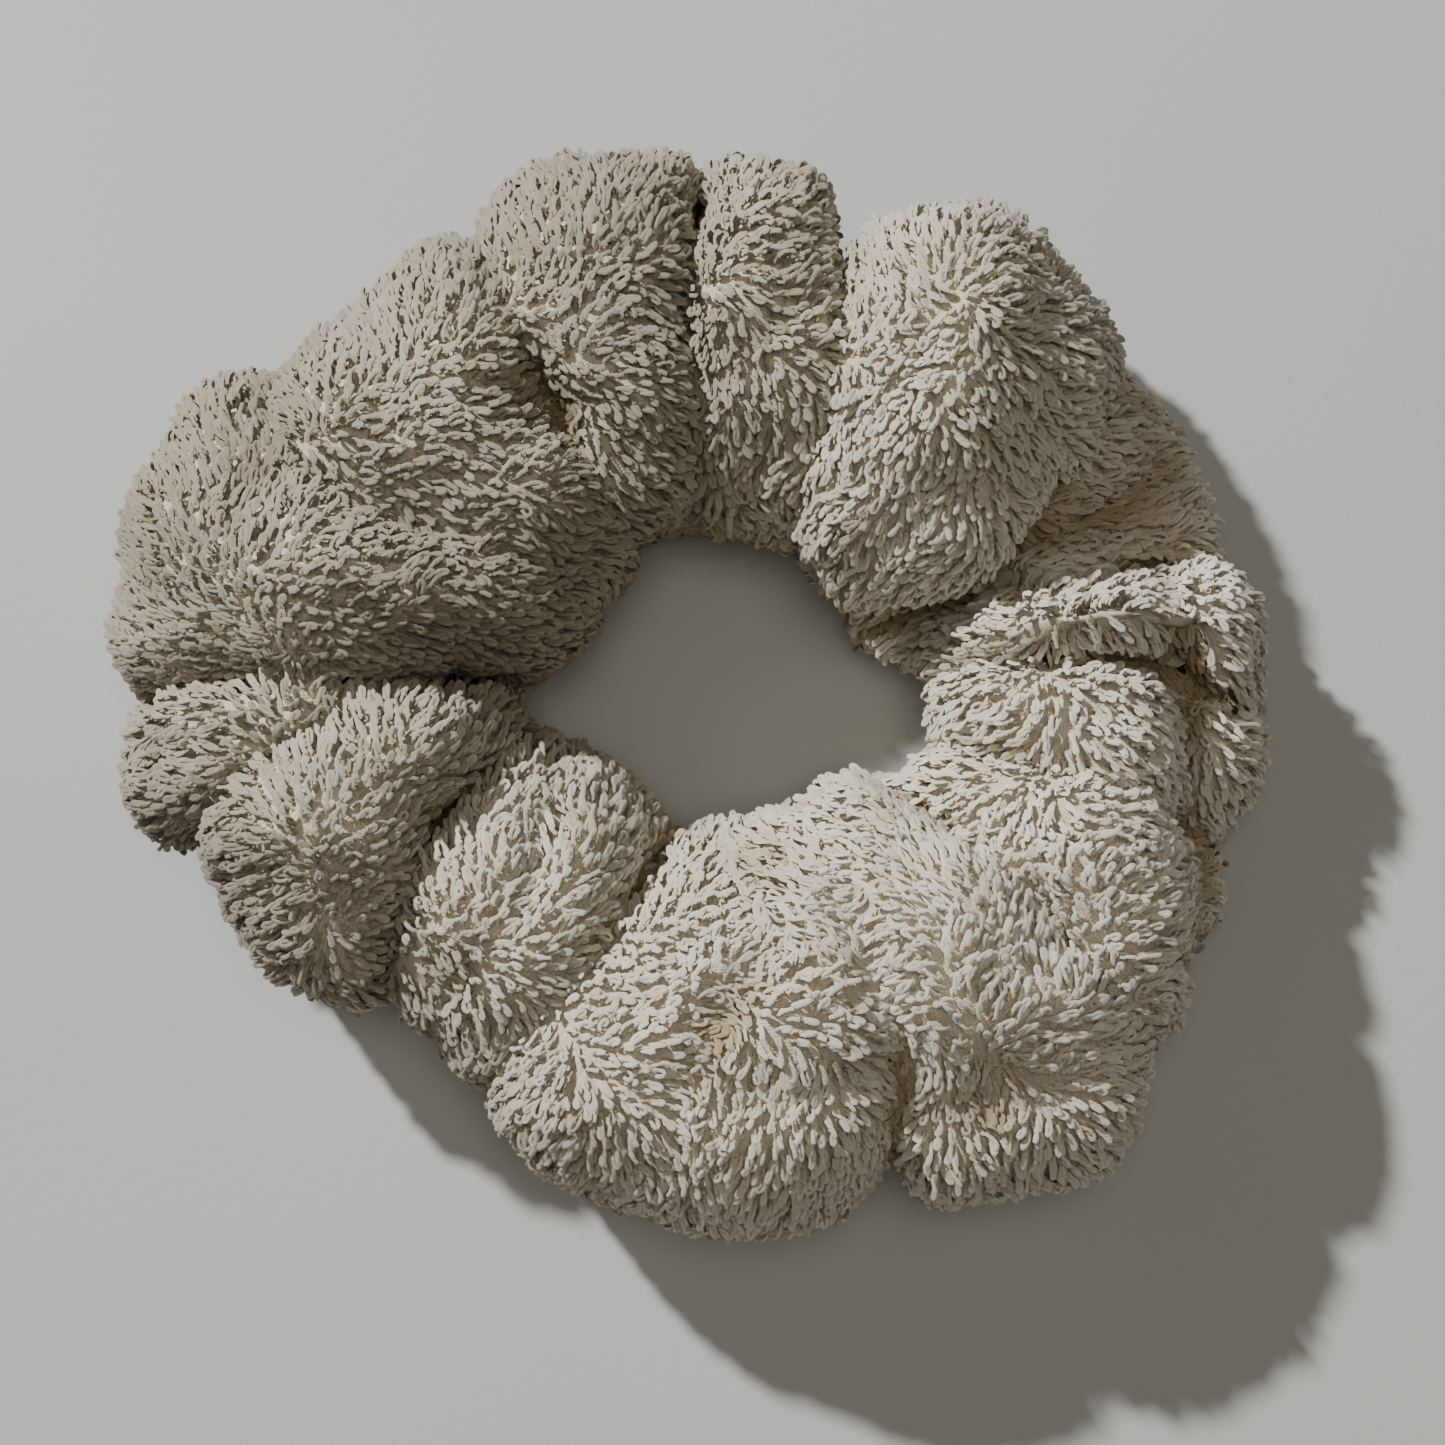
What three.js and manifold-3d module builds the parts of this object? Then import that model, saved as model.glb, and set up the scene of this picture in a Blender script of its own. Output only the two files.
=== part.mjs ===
// A gathered terry scrunchie, modelled as the ring of soft folds that it is.
// Units are millimetres and +Z is up. The ring lies flat on the plane z = 0.
//
// The real object is one terry tube gathered onto one loop of flat elastic. Between
// two folds the ring can open, so the tube, the elastic and the long seam are divided
// at every crease, and each fold is one section of all three.

import * as THREE from "three";
import { mergeVertices } from "three/addons/utils/BufferGeometryUtils.js";
import Module from "manifold-3d";

const wasm = await Module();
wasm.setup();

// ---------- Driving dimensions ----------

// Each fold of the ring, anticlockwise from the big fold at the lower right. `end` is the
// crease that closes the fold, as angles in degrees around the middle of the hole: at the
// hole and at the outside. `outer` and `inner` are the radii at the fold's crown, and
// `height` is its top.
const FOLDS = [
  { end: [328, 320], outer: 59, inner: 18.5, height: 33 },
  { end: [341.8, 342.8], outer: 60, inner: 21.5, height: 31 },
  { end: [358, 360], outer: 57.5, inner: 22.5, height: 31 },
  { end: [369, 374], outer: 55, inner: 21.6, height: 32 },
  { end: [379.2, 390.2], outer: 57, inner: 17, height: 27 },
  { end: [416.5, 435.5], outer: 54, inner: 16.5, height: 35 },
  { end: [454, 450], outer: 52.5, inner: 15.5, height: 32 },
  { end: [482.9, 477.4], outer: 54.5, inner: 15.5, height: 33 },
  { end: [512, 508], outer: 53, inner: 13.5, height: 33 },
  { end: [540.8, 542.8], outer: 61, inner: 14.7, height: 35 },
  { end: [545, 559], outer: 60.5, inner: 19, height: 29 },
  { end: [557, 595], outer: 52.5, inner: 19.5, height: 34 },
  { end: [618.2, 599.2], outer: 47, inner: 16, height: 30 },
  { end: [667.8, 648.8], outer: 55.5, inner: 16, height: 34 },
];
const FOLD_AFTER_CLOSING = 7; // the tube's two ends meet at this fold's first crease
const HOLE_CENTRE = new THREE.Vector2(1.59, 1.0); // from the middle of the ring's outline

const CREASE_DEPTH = 3.5; // how far a crease draws in from the lower of its two crowns
const CREASE_INNER_DEPTH = 1.2;
const CREASE_HEIGHT_SHARE = 0.86; // a crease's top, as a share of its crowns' height
const GAP = 0.3; // between neighbouring pieces
const STEPS_PER_FOLD = 6;
const CUT_OVERSHOOT = 1; // how far the channel's cutter reaches past each end of the tube

const CHANNEL = { width: 10.4, height: 9.6, corner: 3 }; // the passage inside the tube
const CHANNEL_PLACE = { across: 0.32, up: 0.46 }; // shares of the section's width, height
const ELASTIC = { width: 6.4, thickness: 1.2, rise: -0.4 }; // a flat braided band
const SEAM = { width: 5.2, thickness: 1.6, rise: -2.9 }; // two edges sewn together
const LAP_RISE = ELASTIC.rise + ELASTIC.thickness + GAP; // one end of the band lies over the other
const LAP = { ...ELASTIC, rise: LAP_RISE, from: 0.08, to: 0.75 }; // its ends, as shares of its fold
const STRIP_SETBACK = 0.8; // the strips' sections end this far inside the cover's
const THREAD_RADIUS = 0.3;
const TUCK_LENGTH = 1.2; // the tube's turned-in end, along the hole's side
const THREAD_INSET = 0.94; // the closing thread lies a little inside the crease's edge
const CLOSING_ROOM = 2 * THREAD_RADIUS + 2 * GAP; // for the thread between the tube's two ends
const CLOSING_STITCHES = 18;
const LAP_STITCHES = 6;

// ---------- Materials ----------

const terryMaterial = new THREE.MeshStandardMaterial({ color: 0xd9d0bd, roughness: 0.95, metalness: 0 });
const elasticMaterial = new THREE.MeshStandardMaterial({ color: 0xe9e4d8, roughness: 0.7, metalness: 0 });
const threadMaterial = new THREE.MeshStandardMaterial({ color: 0xe3dac6, roughness: 0.6, metalness: 0 });

// ---------- The ring's own coordinates ----------

const lerp = THREE.MathUtils.lerp;
const radians = THREE.MathUtils.degToRad;

function foldAt(index) {
  return FOLDS[(index + FOLDS.length) % FOLDS.length];
}

// The tube's section at the crease between two neighbouring folds.
function creaseBetween(first, second) {
  return {
    outer: Math.min(first.outer, second.outer) - CREASE_DEPTH,
    inner: (first.inner + second.inner) / 2 + CREASE_INNER_DEPTH,
    height: CREASE_HEIGHT_SHARE * Math.min(first.height, second.height),
  };
}

// The tube's section in fold `index`, `along` it from its first crease (0) to its last (1):
// a round crown between two creases.
function sectionAt(index, along) {
  const fold = foldAt(index);
  const crease = along < 0.5 ? creaseBetween(foldAt(index - 1), fold) : creaseBetween(fold, foldAt(index + 1));
  const fullness = Math.sqrt(Math.max(0, 1 - (2 * along - 1) ** 2));
  return {
    outer: lerp(crease.outer, fold.outer, fullness),
    inner: lerp(crease.inner, fold.inner, fullness),
    height: lerp(crease.height, fold.height, fullness),
  };
}

// The angle of the crease after fold `index`, which leans from the hole to the outside.
function creaseAngle(index, across) {
  const [hole, outside] = foldAt(index).end;
  const turn = index < 0 ? -360 : 0;
  return turn + lerp(hole, outside, across);
}

// A point of fold `index`: `across` runs from the hole's side (0) to the outside (1) and
// `up` from the ground (0) to the top (1). The rest is in millimetres: shifts across and
// up, how far the fold's ends stay back from its creases, and a push along the ring.
function foldPoint(index, { along, across, up, shiftAcross = 0, shiftUp = 0, trimStart = 0, trimEnd = 0, push = 0 }) {
  const section = sectionAt(index, along);
  const radius = lerp(section.inner, section.outer, across) + shiftAcross;
  const shifted = THREE.MathUtils.clamp(across + shiftAcross / (section.outer - section.inner), 0, 1);
  const start = radians(creaseAngle(index - 1, shifted)) + trimStart / radius;
  const end = radians(creaseAngle(index, shifted)) - trimEnd / radius;
  const angle = lerp(start, end, along) + push / radius;
  return new THREE.Vector3(
    HOLE_CENTRE.x + radius * Math.cos(angle),
    HOLE_CENTRE.y + radius * Math.sin(angle),
    up * section.height + shiftUp,
  );
}

// ---------- Solids ----------

// Extrudes an outline and bends it along fold `index`. `placeAt` turns a share of the
// piece's own length into its place along the fold. A `stretched` outline is in shares of
// the tube's section, and any other is in millimetres around the channel's middle.
function bentAlongFold(outline, index, placeAt, { steps, stretched }) {
  const geometry = new THREE.ExtrudeGeometry(outline, {
    depth: 1,
    steps,
    bevelEnabled: false,
    curveSegments: 4,
  });
  geometry.deleteAttribute("normal");
  geometry.deleteAttribute("uv");
  const position = geometry.getAttribute("position");
  for (let i = 0; i < position.count; i++) {
    const place = placeAt(1 - position.getZ(i));
    const x = position.getX(i);
    const y = position.getY(i);
    const inSection = stretched ? { across: x, up: y } : { ...CHANNEL_PLACE, shiftAcross: x, shiftUp: y };
    const point = foldPoint(index, { ...place, ...inSection });
    position.setXYZ(i, point.x, point.y, point.z);
  }
  return mergeVertices(geometry, 1e-4);
}

function solidOf(geometry) {
  return new wasm.Manifold(
    new wasm.Mesh({
      numProp: 3,
      vertProperties: geometry.getAttribute("position").array,
      triVerts: new Uint32Array(geometry.index.array),
    }),
  );
}

function geometryOf(solid) {
  const mesh = solid.getMesh();
  const geometry = new THREE.BufferGeometry();
  geometry.setAttribute("position", new THREE.BufferAttribute(mesh.vertProperties, 3));
  geometry.setIndex(new THREE.BufferAttribute(mesh.triVerts, 1));
  geometry.computeVertexNormals();
  return geometry;
}

// ---------- Outlines ----------

// The tube's section: a soft arch on a flat foot, in shares of its width and height.
function tubeOutline() {
  const outline = new THREE.Shape();
  outline.moveTo(0.2, 0);
  outline.lineTo(0.8, 0);
  outline.bezierCurveTo(0.95, 0.02, 1, 0.22, 1, 0.45);
  outline.bezierCurveTo(1, 0.78, 0.82, 1, 0.52, 1);
  outline.bezierCurveTo(0.2, 1, 0, 0.78, 0, 0.45);
  outline.bezierCurveTo(0, 0.22, 0.05, 0.02, 0.2, 0);
  return outline;
}

function channelOutline() {
  const { corner } = CHANNEL;
  const right = CHANNEL.width / 2;
  const top = CHANNEL.height / 2;
  const outline = new THREE.Shape();
  outline.moveTo(corner - right, -top);
  outline.lineTo(right - corner, -top);
  outline.quadraticCurveTo(right, -top, right, corner - top);
  outline.lineTo(right, top - corner);
  outline.quadraticCurveTo(right, top, right - corner, top);
  outline.lineTo(corner - right, top);
  outline.quadraticCurveTo(-right, top, -right, top - corner);
  outline.lineTo(-right, corner - top);
  outline.quadraticCurveTo(-right, -top, corner - right, -top);
  return outline;
}

// A flat strip with eased edges, `rise` above the middle of the channel.
function stripOutline({ width, thickness, rise }) {
  const half = width / 2;
  const ease = thickness / 2;
  const outline = new THREE.Shape();
  outline.moveTo(-half + ease, rise - ease);
  outline.lineTo(half - ease, rise - ease);
  outline.lineTo(half, rise);
  outline.lineTo(half - ease, rise + ease);
  outline.lineTo(-half + ease, rise + ease);
  outline.lineTo(-half, rise);
  outline.closePath();
  return outline;
}

// ---------- Pieces ----------

// Places along fold `index`, `from` one share of it `to` another. Its ends stay back from
// its creases, and the two folds beside the closing leave room for its thread and for the
// tube's turned-in end.
function placesInFold(index, { from = 0, to = 1 } = {}) {
  const closesBefore = index === FOLD_AFTER_CLOSING;
  const closesAfter = index === FOLD_AFTER_CLOSING - 1;
  const trimStart = closesBefore ? CLOSING_ROOM / 2 + TUCK_LENGTH + GAP : GAP / 2;
  const trimEnd = closesAfter ? CLOSING_ROOM / 2 : GAP / 2;
  return (share) => ({ along: lerp(from, to, share), trimStart, trimEnd });
}

// Places for the strips in the channel, whose ends stay a little inside the cover's.
function placesOfStrips(index) {
  const radius = lerp(foldAt(index).inner, foldAt(index).outer, CHANNEL_PLACE.across);
  const turn = creaseAngle(index, CHANNEL_PLACE.across) - creaseAngle(index - 1, CHANNEL_PLACE.across);
  const from = STRIP_SETBACK / (radius * radians(turn));
  return placesInFold(index, { from, to: 1 - from });
}

// Places in a thin slice of the tube beside the closing crease.
function placesInTuck(share) {
  return { along: 0, push: CLOSING_ROOM / 2 + TUCK_LENGTH * share };
}

// The same places, with one more step past each end.
function pastBothEnds(places, steps) {
  return (share) => {
    const step = Math.round(share * (steps + 2)) - 1;
    const place = places(THREE.MathUtils.clamp(step / steps, 0, 1));
    const past = step < 0 ? -CUT_OVERSHOOT : step > steps ? CUT_OVERSHOOT : 0;
    return { ...place, push: (place.push ?? 0) + past };
  };
}

// A length of tube with its channel cut right through.
function hollowTube(index, places, steps) {
  const tube = bentAlongFold(tubeOutline(), index, places, { steps, stretched: true });
  const cutterPlaces = pastBothEnds(places, steps);
  const cutter = bentAlongFold(channelOutline(), index, cutterPlaces, { steps: steps + 2, stretched: false });
  return geometryOf(solidOf(tube).subtract(solidOf(cutter)));
}

function strip(outline, index, places) {
  const options = { steps: STEPS_PER_FOLD, stretched: false };
  return geometryOf(solidOf(bentAlongFold(stripOutline(outline), index, places, options)));
}

// A thread through a row of points, with a gap between its two ends.
function thread(points) {
  const path = new THREE.CatmullRomCurve3(points);
  const section = new THREE.Shape();
  section.absarc(0, 0, THREAD_RADIUS, 0, 2 * Math.PI);
  const geometry = new THREE.ExtrudeGeometry(section, {
    extrudePath: path,
    steps: 2 * points.length,
    bevelEnabled: false,
    curveSegments: 3,
  });
  geometry.deleteAttribute("normal");
  geometry.deleteAttribute("uv");
  return geometryOf(solidOf(mergeVertices(geometry, 1e-4)));
}

function named(name, geometry, material) {
  const mesh = new THREE.Mesh(geometry, material.clone());
  mesh.name = name;
  return mesh;
}

// One fold: a section of the cover, and the elastic and the long seam inside it.
function fold(index) {
  const label = String(index + 1).padStart(2, "0");
  const places = placesOfStrips(index);
  const cover = hollowTube(index, placesInFold(index), STEPS_PER_FOLD);
  const group = new THREE.Group();
  group.add(named(`cover_${label}`, cover, terryMaterial));
  group.add(named(`elastic_${label}`, strip(ELASTIC, index, places), elasticMaterial));
  group.add(named(`long_seam_${label}`, strip(SEAM, index, places), terryMaterial));
  return group;
}

// The thread that closes the tube goes round it, in the crease between its two ends.
function closingThread() {
  const around = tubeOutline().getSpacedPoints(CLOSING_STITCHES);
  const points = around.slice(0, -1).map(({ x, y }) => {
    const across = lerp(0.5, x, THREAD_INSET);
    const up = lerp(0.5, y, THREAD_INSET);
    return foldPoint(FOLD_AFTER_CLOSING, { along: 0, across, up });
  });
  return thread(points);
}

// The zigzag that sews the band's lapped end down, on top of the lap.
function lapThread() {
  const places = placesInFold(FOLD_AFTER_CLOSING, LAP);
  const shiftUp = LAP.rise + LAP.thickness / 2 + GAP + THREAD_RADIUS;
  const points = [];
  for (let stitch = 0; stitch <= LAP_STITCHES; stitch++) {
    const place = places(lerp(0.15, 0.85, stitch / LAP_STITCHES));
    const shiftAcross = (stitch % 2 ? 1 : -1) * LAP.width * 0.3;
    points.push(foldPoint(FOLD_AFTER_CLOSING, { ...place, ...CHANNEL_PLACE, shiftAcross, shiftUp }));
  }
  return thread(points);
}

// Where the loop is closed: the tube's turned-in end, the band's lapped end over the band,
// and the thread through each.
function closing() {
  const index = FOLD_AFTER_CLOSING;
  const lap = strip(LAP, index, placesInFold(index, LAP));
  const group = new THREE.Group();
  group.add(named("cover_turned_in_end", hollowTube(index, placesInTuck, 1), terryMaterial));
  group.add(named("elastic_lap", lap, elasticMaterial));
  group.add(named("cover_closing_thread", closingThread(), threadMaterial));
  group.add(named("elastic_lap_thread", lapThread(), threadMaterial));
  return group;
}

const scrunchie = new THREE.Group();
FOLDS.forEach((_, index) => scrunchie.add(fold(index)));
scrunchie.add(closing());

export default scrunchie;
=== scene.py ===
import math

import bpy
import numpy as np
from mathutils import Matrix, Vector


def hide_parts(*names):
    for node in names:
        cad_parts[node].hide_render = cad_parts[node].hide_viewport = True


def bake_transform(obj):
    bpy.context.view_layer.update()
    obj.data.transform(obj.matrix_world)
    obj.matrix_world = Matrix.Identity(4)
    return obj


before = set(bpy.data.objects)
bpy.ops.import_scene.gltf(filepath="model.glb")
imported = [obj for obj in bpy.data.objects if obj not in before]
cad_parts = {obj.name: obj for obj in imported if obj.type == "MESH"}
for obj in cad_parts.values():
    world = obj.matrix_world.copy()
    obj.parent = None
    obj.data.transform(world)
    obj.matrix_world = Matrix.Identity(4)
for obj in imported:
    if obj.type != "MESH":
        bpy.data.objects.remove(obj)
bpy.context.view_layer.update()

# The looks of a gathered terry scrunchie: one towelling tube bunched on a hidden loop of
# elastic, covered all over in looped pile. Shapes are worked out in millimetres, as
# numpy arrays, and become meshes in metres.

MM = 0.001
rng = np.random.default_rng(14)

# ---------- The ring of folds ----------

HOLE_CENTRE = np.array([1.59, 1.0])
HOLE_RADIUS = 16
RIM_RADIUS = 56

# Each fold, anticlockwise from the big one at the lower right. `end` is the crease after
# it: its angles round the hole's middle at the hole, half-way out and at the rim. `outer`
# and `inner` are the crown's radii and `top` its height, over the cloth's pile. `deep` is
# how deep the crease after it is (1 is a full tuck), `notch` how far it cuts into the
# rim, and `lean` how far one wall of it hangs over the other: the fold's own wall if
# above 0, the next fold's if below. A crease with a `skirt` of 1 stops short of the rim.
FOLDS = [
    dict(end=(328, 324, 320), outer=60.5, inner=17, top=33, deep=0.5, notch=1, lean=0),
    dict(end=(341, 343, 342), outer=58.5, inner=21.5, top=29, deep=0.55, notch=0.5, lean=0, skirt=0.6),
    dict(end=(356, 361, 356), outer=57, inner=23, top=28.5, deep=0.65, notch=0.5, lean=0, skirt=0.8),
    dict(end=(366, 373, 371), outer=56, inner=21.5, top=29, deep=0.75, notch=0.5, lean=2),
    dict(end=(389, 390, 401), outer=55, inner=15.5, top=15, deep=0.5, notch=2, lean=-5),
    dict(end=(414, 428.5, 433), outer=54.5, inner=14.5, top=35.5, deep=0.5, notch=9, lean=1),
    dict(end=(454, 452, 450), outer=53, inner=14.8, top=32, deep=1.1, notch=1, lean=0),
    dict(end=(483, 480, 477.5), outer=53.5, inner=15.3, top=33, deep=0.4, notch=2.5, lean=0),
    dict(end=(506, 516, 502), outer=50, inner=12.8, top=33.5, deep=0.4, notch=0.5, lean=2.5),
    dict(end=(541, 541.5, 543), outer=59, inner=12.8, top=35, deep=1.1, notch=1, lean=1),
    dict(end=(546, 551, 560), outer=60, inner=18.5, top=29, deep=0.5, notch=1, lean=-2),
    dict(end=(557, 576, 595), outer=51.5, inner=17.5, top=34, deep=1, notch=2, lean=1),
    dict(end=(620, 607, 601), outer=45, inner=12.8, top=30, deep=0.85, notch=5, lean=-1),
    dict(end=(668, 658, 649), outer=54.5, inner=15.2, top=33, deep=0.1, notch=4, lean=0),
]
COUNT = len(FOLDS)
CLOSING_CREASE = 6  # the tube's ends are sewn together in the crease after this fold

PILE_HEIGHT = 1.6  # how far the pile stands off the cloth
CLOTH_BASE = 1.3  # and how far, pressed flat, it holds the cloth off the floor
SECTION_WIDTH, SECTION_HEIGHT = 38, 32  # a typical fold's, for spacing a section's points
TUCK_TOP, TUCK_INNER, TUCK_BASE = 12.5, 2.5, 2.5  # a full tuck's depths
NARROW = 7  # a fold narrower than this can't stand up to its full height
ROWS_PER_FOLD = 36
SECTION_POINTS = 108
CLOTH_THICKNESS = 0.7


def fold_at(index):
    """Fold `index`, counting on round the ring past its ends."""
    return FOLDS[index % COUNT]


def crease_angle(index, radius):
    """The angle in radians, at each radius, of the crease after fold `index`."""
    hole, half_way, rim = fold_at(index)["end"]
    turn = 360 * (index // COUNT)
    share = np.clip((radius - HOLE_RADIUS) / (RIM_RADIUS - HOLE_RADIUS), 0, 1)
    angle = (
        hole * (1 - share) * (1 - 2 * share)
        + half_way * 4 * share * (1 - share)
        + rim * share * (2 * share - 1)
    )
    return np.radians(turn + angle)


def section_outline():
    """The tube's section as shares of its width and height, from the rim over the top."""
    turn = np.linspace(0, 2 * np.pi, 2000)
    cosine, sine = np.cos(turn), np.sin(turn)
    power = np.where(sine > 0, 2 / 2.3, 2 / 2.9)
    across = 0.5 + 0.5 * np.sign(cosine) * np.abs(cosine) ** power
    reach = np.where(sine > 0, 0.56, 0.44)
    up = 0.44 + reach * np.sign(sine) * np.abs(sine) ** power
    steps = np.hypot(np.diff(across * SECTION_WIDTH), np.diff(up * SECTION_HEIGHT))
    length = np.concatenate([[0], np.cumsum(steps)])
    even = np.linspace(0, length[-1], SECTION_POINTS, endpoint=False)
    return np.stack([np.interp(even, length, across), np.interp(even, length, up)], axis=1)


OUTLINE = section_outline()


def section(inner, outer, base, top):
    """The outline at real size: radius and height of each of its points, for each row."""
    across, up = OUTLINE.T
    return np.stack([inner + (outer - inner) * across, base + (top - base) * up], axis=-1)


def crown_sections(index, place):
    """The fold's section if it had no creases; towards a crease it nears its neighbour's."""
    own, before, after = fold_at(index), fold_at(index - 1), fold_at(index + 1)

    def shared(key):
        beside = np.where(place > 0, after[key], before[key])
        return (own[key] + (beside - own[key]) * np.abs(place) / 2)[:, None]

    inner, outer, top = shared("inner"), shared("outer"), shared("top")
    return section(inner + PILE_HEIGHT, outer - PILE_HEIGHT, CLOTH_BASE, top - PILE_HEIGHT)


def crease_section(index):
    """The section in the crease after fold `index`, drawn in from its neighbours' crowns."""
    first, second = fold_at(index), fold_at(index + 1)
    deep = first["deep"]
    near_rim = np.clip((OUTLINE[:, 0] - 0.55) / 0.4, 0, 1)
    tuck = TUCK_TOP * deep * (1 - first.get("skirt", 0) * near_rim)
    return section(
        (first["inner"] + second["inner"]) / 2 + PILE_HEIGHT + TUCK_INNER * deep,
        (first["outer"] + second["outer"]) / 2 - PILE_HEIGHT - first["notch"],
        CLOTH_BASE + TUCK_BASE * deep,
        (first["top"] + second["top"]) / 2 - PILE_HEIGHT - tuck,
    )


def fold_angle(index, place, radius):
    """The angle round the hole of a place in fold `index`, from -1 to 1 along it."""
    start, end = crease_angle(index - 1, radius), crease_angle(index, radius)
    return (start + end) / 2 + (end - start) / 2 * np.sin(place * np.pi / 2)


def on_ring(radius, angle, height):
    x = HOLE_CENTRE[0] + radius * np.cos(angle)
    y = HOLE_CENTRE[1] + radius * np.sin(angle)
    return np.stack([x, y, height], axis=-1)


def fold_surface(index, place):
    """The cloth of one fold: a row of points for each place along it."""
    turn = np.sin(place * np.pi / 2)[:, None, None]
    behind, ahead = crease_section(index - 1), crease_section(index)
    tucked = behind + (ahead - behind) * (1 + turn) / 2
    crown = crown_sections(index, place)
    middle = crown[len(place) // 2, :, 0]
    width = middle * (crease_angle(index, middle) - crease_angle(index - 1, middle))
    deep = np.where(place > 0, fold_at(index)["deep"], fold_at(index - 1)["deep"])
    shallow = np.clip(0.7 - deep, 0, 0.6)
    aside = np.abs(np.sin(place * np.pi / 2))
    rounding = ((1 - aside ** (2 + 5 * shallow)) ** (0.31 + 1.2 * shallow))[:, None]
    fullness = rounding * np.clip(width / NARROW, 0.25, 1)
    radius, height = np.moveaxis(tucked + (crown - tucked) * fullness[..., None], 2, 0)
    far_lean, near_lean = max(fold_at(index)["lean"], 0), min(fold_at(index - 1)["lean"], 0)
    overhang = np.where(place > 0, far_lean, near_lean)[:, None] * np.abs(turn[..., 0]) ** 3
    push = overhang * fullness * 2.2 * np.clip((height - 8) / 14, 0, 1)
    angle = fold_angle(index, place[:, None], radius) + push / radius
    return on_ring(radius, angle, height)


# ---------- Smaller shapes in the cloth ----------

NOISE_WAVES = 14
LOWEST_CLOTH = 1.2

# Dents (depth above 0) and swellings (below 0) that folds have besides their creases. Each is
# given by where it is in millimetres from the hole's middle, which way it runs in degrees, its
# half length and half width, and its depth.
DENTS = [
    dict(x=48.6, y=-9.5, run=97, length=14, width=4.4, depth=12.5),
    dict(x=54, y=-11, run=95, length=11, width=3, depth=1.8),
    dict(x=-0.5, y=46, run=88, length=5, width=2.0, depth=4.0),
    dict(x=13, y=43, run=75, length=6, width=4.5, depth=5.0),
    dict(x=20, y=46, run=150, length=5, width=4, depth=3.0),
    dict(x=50, y=-22, run=60, length=7, width=3.0, depth=2.5),
    dict(x=22, y=6, run=20, length=9, width=3.0, depth=1.5),
    dict(x=13, y=8.5, run=70, length=3.5, width=3.0, depth=-1.8),
    dict(x=-17, y=26, run=75, length=6, width=3.0, depth=1.3),
    dict(x=-27, y=13, run=-35, length=7, width=3.0, depth=1.4),
    dict(x=-22, y=30, run=20, length=8, width=5.0, depth=-1.5),
    dict(x=-43, y=20, run=100, length=9, width=3.5, depth=1.6),
    dict(x=-37, y=25, run=30, length=7, width=5.0, depth=-1.5),
    dict(x=-52, y=-12, run=120, length=8, width=4.0, depth=3.0),
    dict(x=-16, y=-19, run=75, length=8, width=2.0, depth=2.0),
    dict(x=1, y=-36, run=60, length=8, width=2.2, depth=1.8),
    dict(x=12, y=-40, run=10, length=9, width=2.5, depth=2.0),
    dict(x=30, y=-41, run=15, length=11, width=4.0, depth=3.0),
    dict(x=34, y=-24, run=115, length=12, width=2.4, depth=1.6),
    dict(x=21, y=27, run=65, length=9, width=2.0, depth=1.6),
    dict(x=29, y=21, run=35, length=9, width=2.2, depth=1.0),
    dict(x=6, y=31, run=40, length=6, width=2.2, depth=1.4),
]


def soft_noise(points, scale, seed):
    """Smooth noise of about -1 to 1 whose bumps are `scale` millimetres across."""
    dice = np.random.default_rng(seed)
    waves = dice.normal(size=(NOISE_WAVES, 3))
    waves *= 2 * np.pi / (scale * 2 * np.linalg.norm(waves, axis=1, keepdims=True))
    phases = dice.uniform(0, 2 * np.pi, NOISE_WAVES)
    total = np.zeros(points.shape[:-1])
    for wave, phase in zip(waves, phases):
        total += np.sin(points @ wave + phase)
    return total / math.sqrt(NOISE_WAVES)


def unit(vectors):
    return vectors / np.maximum(np.linalg.norm(vectors, axis=-1, keepdims=True), 1e-9)


def grid_normals(grid):
    """The outward normals of a closed ring of closed sections."""
    along = np.roll(grid, -1, axis=0) - np.roll(grid, 1, axis=0)
    around = np.roll(grid, -1, axis=1) - np.roll(grid, 1, axis=1)
    return unit(np.cross(along, around))


def dented(grid):
    """The cloth with its dents pressed in, mostly downwards, on all but its underside."""
    normals = grid_normals(grid)
    upward = np.clip(normals[..., 2] + 0.7, 0, 1)
    depth = np.zeros(grid.shape[:2])
    for dent in DENTS:
        x = grid[..., 0] - HOLE_CENTRE[0] - dent["x"]
        y = grid[..., 1] - HOLE_CENTRE[1] - dent["y"]
        run = math.radians(dent["run"])
        along = x * math.cos(run) + y * math.sin(run)
        aside = y * math.cos(run) - x * math.sin(run)
        near = np.exp(-((along / dent["length"]) ** 2) - (aside / dent["width"]) ** 2)
        depth += dent["depth"] * near
    inward = -unit(0.35 * normals + np.array([0, 0, 1]))
    return grid + inward * (depth * upward)[..., None]


def rumpled(grid):
    """The cloth with small uneven rumples, held off the floor by the pile under it."""
    normals = grid_normals(grid)
    bump = 0.75 * soft_noise(grid, 13, 3) + 0.55 * soft_noise(grid, 6.5, 5)
    bump += 0.2 * soft_noise(grid, 3, 7)
    moved = grid + normals * bump[..., None]
    moved[..., 2] = np.maximum(moved[..., 2], LOWEST_CLOTH)
    return moved


def ring_surface():
    """The whole ring's cloth: rows along the ring, points round the tube."""
    places = np.linspace(-1, 1, ROWS_PER_FOLD, endpoint=False)
    rows = [fold_surface(index, places) for index in range(COUNT)]
    return rumpled(dented(np.concatenate(rows)))


def sunken(grid, normals):
    """How far each point lies below the mean of the cloth round it, in millimetres."""
    total = np.zeros_like(grid)
    row_steps, column_steps = range(-12, 13, 4), range(-9, 10, 3)
    for rows in row_steps:
        for columns in column_steps:
            total += np.roll(grid, (rows, columns), axis=(0, 1))
    mean = total / (len(row_steps) * len(column_steps))
    return ((mean - grid) * normals).sum(axis=2)


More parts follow.
